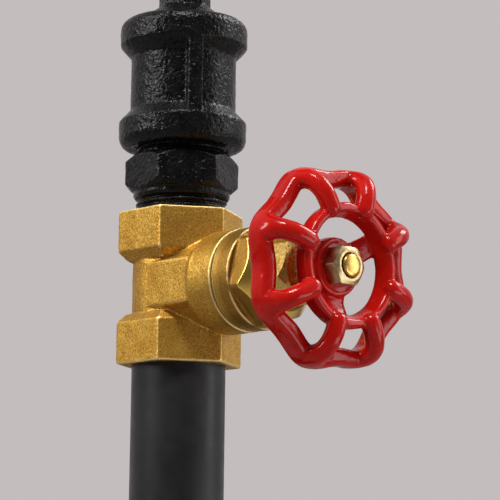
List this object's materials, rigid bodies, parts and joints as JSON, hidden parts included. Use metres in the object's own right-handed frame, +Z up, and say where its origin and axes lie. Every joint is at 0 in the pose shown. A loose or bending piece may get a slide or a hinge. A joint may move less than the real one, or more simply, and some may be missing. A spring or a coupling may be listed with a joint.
{
  "type": "pipe pendant light",
  "caption": "Rigid pendant light of black pipe fittings with a brass gate valve whose red handwheel turns, hung from a round ceiling canopy and ending in a lamp holder with a bulb.",
  "frame": {"origin": "centre of the canopy on the ceiling plane", "axes": "+Z up towards the ceiling, the light hangs along -Z; the valve stem points along -Y and the ceiling slots lie along X"},
  "size_m": [0.12, 0.13, 0.5434],
  "materials": {
    "black_paint": "semi-matte black paint",
    "zinc_steel": "zinc plate",
    "black_iron": "black coated malleable iron, slightly lumpy",
    "forged_brass": "forged and sand-blasted brass with bright edges",
    "turned_brass": "bright turned brass",
    "nut_brass": "pale bright nut",
    "red_enamel": "glossy red enamel",
    "gasket_fibre": "matte fibre",
    "phenolic": "black phenolic",
    "ivory_plastic": "ivory moulding",
    "cap_metal": "bright pressed sheet",
    "cap_glass": "dark glassy insulation",
    "clear_glass": "clear, faintly warm",
    "filament": "fine drawn wire",
    "brown_insulation": "smooth insulation",
    "blue_insulation": "smooth insulation",
    "green_insulation": "smooth insulation"
  },
  "bodies": {
    "pendant": {"ceiling_bracket": "zinc_steel", "canopy": "black_paint", "canopy_screws": "turned_brass", "terminal_block": "ivory_plastic", "terminal_block_screws": "zinc_steel", "rod_lock_nut": "zinc_steel", "rod_washer": "zinc_steel", "rod_bush": "ivory_plastic", "rod_collar": "black_paint", "hang_rod": "black_paint", "reducing_plug": "black_iron", "coupling": "black_iron", "hex_nipple": "black_iron", "valve_body": "forged_brass", "bonnet_gasket": "gasket_fibre", "valve_bonnet": "forged_brass", "packing_ring": "gasket_fibre", "packing_nut": "turned_brass", "drop_pipe": "black_paint", "bell_reducer": "black_iron", "holder_set_screws": "zinc_steel", "earth_screw": "turned_brass", "lamp_holder": "phenolic", "screw_shell": "turned_brass", "centre_contact": "turned_brass", "bulb_cap": "cap_metal", "bulb_insulator": "cap_glass", "bulb_contact": "cap_metal", "bulb_glass": "clear_glass", "bulb_mount": "clear_glass", "bulb_filament": "filament", "live_wire": "brown_insulation", "neutral_wire": "blue_insulation", "earth_wire": "green_insulation"},
    "wheel": {"valve_stem": "turned_brass", "handwheel": "red_enamel", "wheel_nut": "nut_brass"}
  },
  "joints": [
    {"name": "handwheel_turn", "type": "hinge", "parent": "pendant", "child": "wheel", "pos_m": [0, -0.0614, -0.2476], "axis": [0, -1, 0], "continuous": true}
  ]
}
